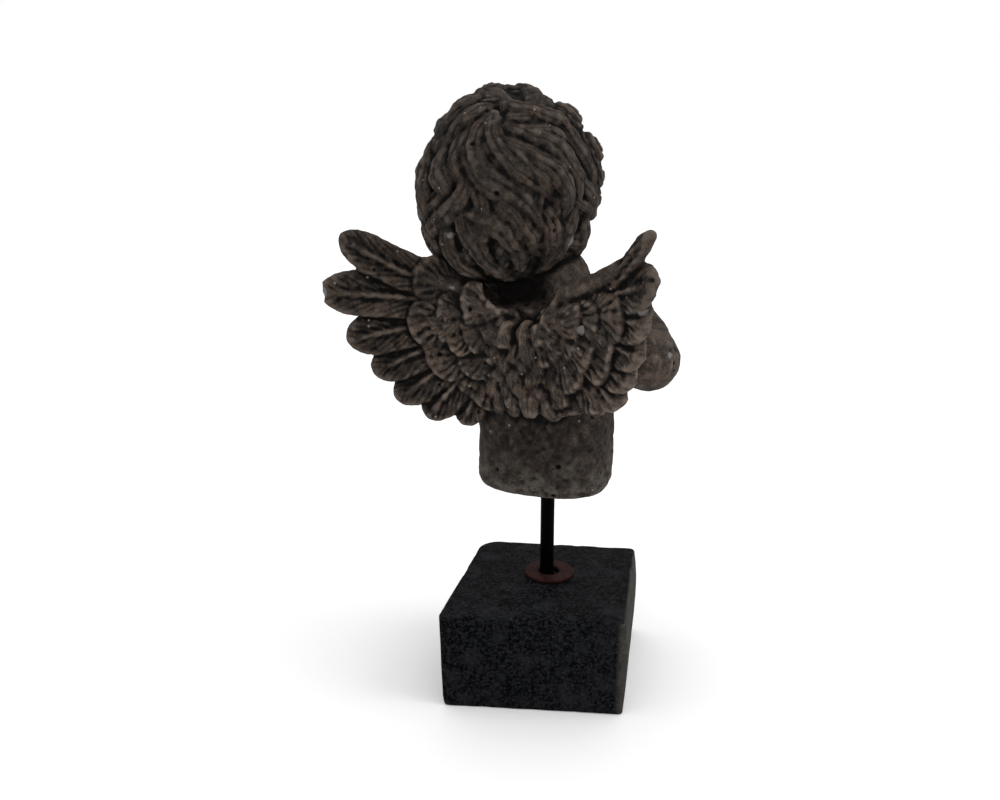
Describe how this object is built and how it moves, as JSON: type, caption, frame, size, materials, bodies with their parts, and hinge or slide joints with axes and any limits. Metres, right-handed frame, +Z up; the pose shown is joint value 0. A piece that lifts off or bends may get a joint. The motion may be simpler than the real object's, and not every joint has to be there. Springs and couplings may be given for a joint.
{
  "type": "winged child with violin, cast stone bust on rod and block",
  "caption": "Cast stone bust of a winged child playing a violin, held above a square granite block by a thin steel rod with a washer at its foot.",
  "frame": {"origin": "middle of the block's underside, on the surface that the object stands on", "axes": "+Z up, the bust's face and violin towards -Y, turned about 21 degrees to -X; +X and +Y along the block's sides"},
  "size_m": [0.1166, 0.1216, 0.2071],
  "materials": {
    "granite": "honed dark granite with fine pale grains",
    "rod_steel": "blackened, satin",
    "washer_steel": "brown-red oxide, dull",
    "cast_stone": "dark patinated cast stone, matt, with pits and pale chips"
  },
  "bodies": {
    "root": {"block": "granite", "rod": "rod_steel", "washer": "washer_steel", "bust": "cast_stone"}
  },
  "joints": []
}
